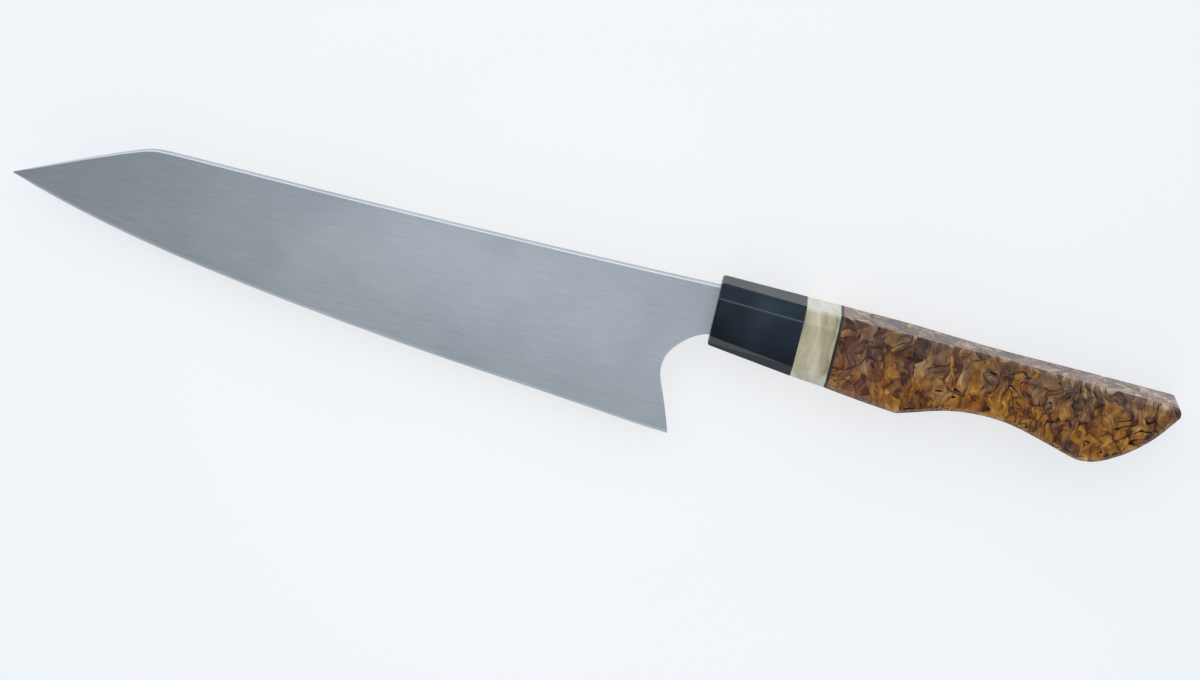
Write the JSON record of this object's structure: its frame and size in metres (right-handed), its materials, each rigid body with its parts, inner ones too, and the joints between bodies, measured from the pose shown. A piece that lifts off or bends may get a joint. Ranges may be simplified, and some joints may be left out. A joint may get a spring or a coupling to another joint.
{
  "type": "kitchen knife",
  "caption": "Kitchen knife with a clipped point, a flat ground blade, a deep finger choil behind the heel and a glued octagonal handle with a belly, a waist and a beaked butt.",
  "frame": {"origin": "centre of the knife's bounding box in plan, on the plane that the lower side of the handle lies on, with the blade's middle plane level above it", "axes": "+X towards the butt, with the tip at -X; +Y from the edge to the spine; +Z out of the side of the knife that the picture shows"},
  "size_m": [0.3514, 0.0502, 0.0217],
  "materials": {
    "blade_steel": "satin, rubbed along the blade's length",
    "black_horn": "polished near-black buffalo horn",
    "pale_horn": "polished ivory-coloured horn with grey-brown streaks",
    "black_fibre": "black vulcanised fibre sheet",
    "burl_wood": "polished stabilised burl, amber with purple-brown and black figure",
    "dowel_wood": "plain turned hardwood, unseen",
    "cured_epoxy": "cured dark epoxy"
  },
  "bodies": {
    "root": {"blade": "blade_steel", "ferrule": "black_horn", "spacer": "pale_horn", "liner": "black_fibre", "grip": "burl_wood", "core_dowel": "dowel_wood", "tang_bedding": "cured_epoxy"}
  },
  "joints": []
}
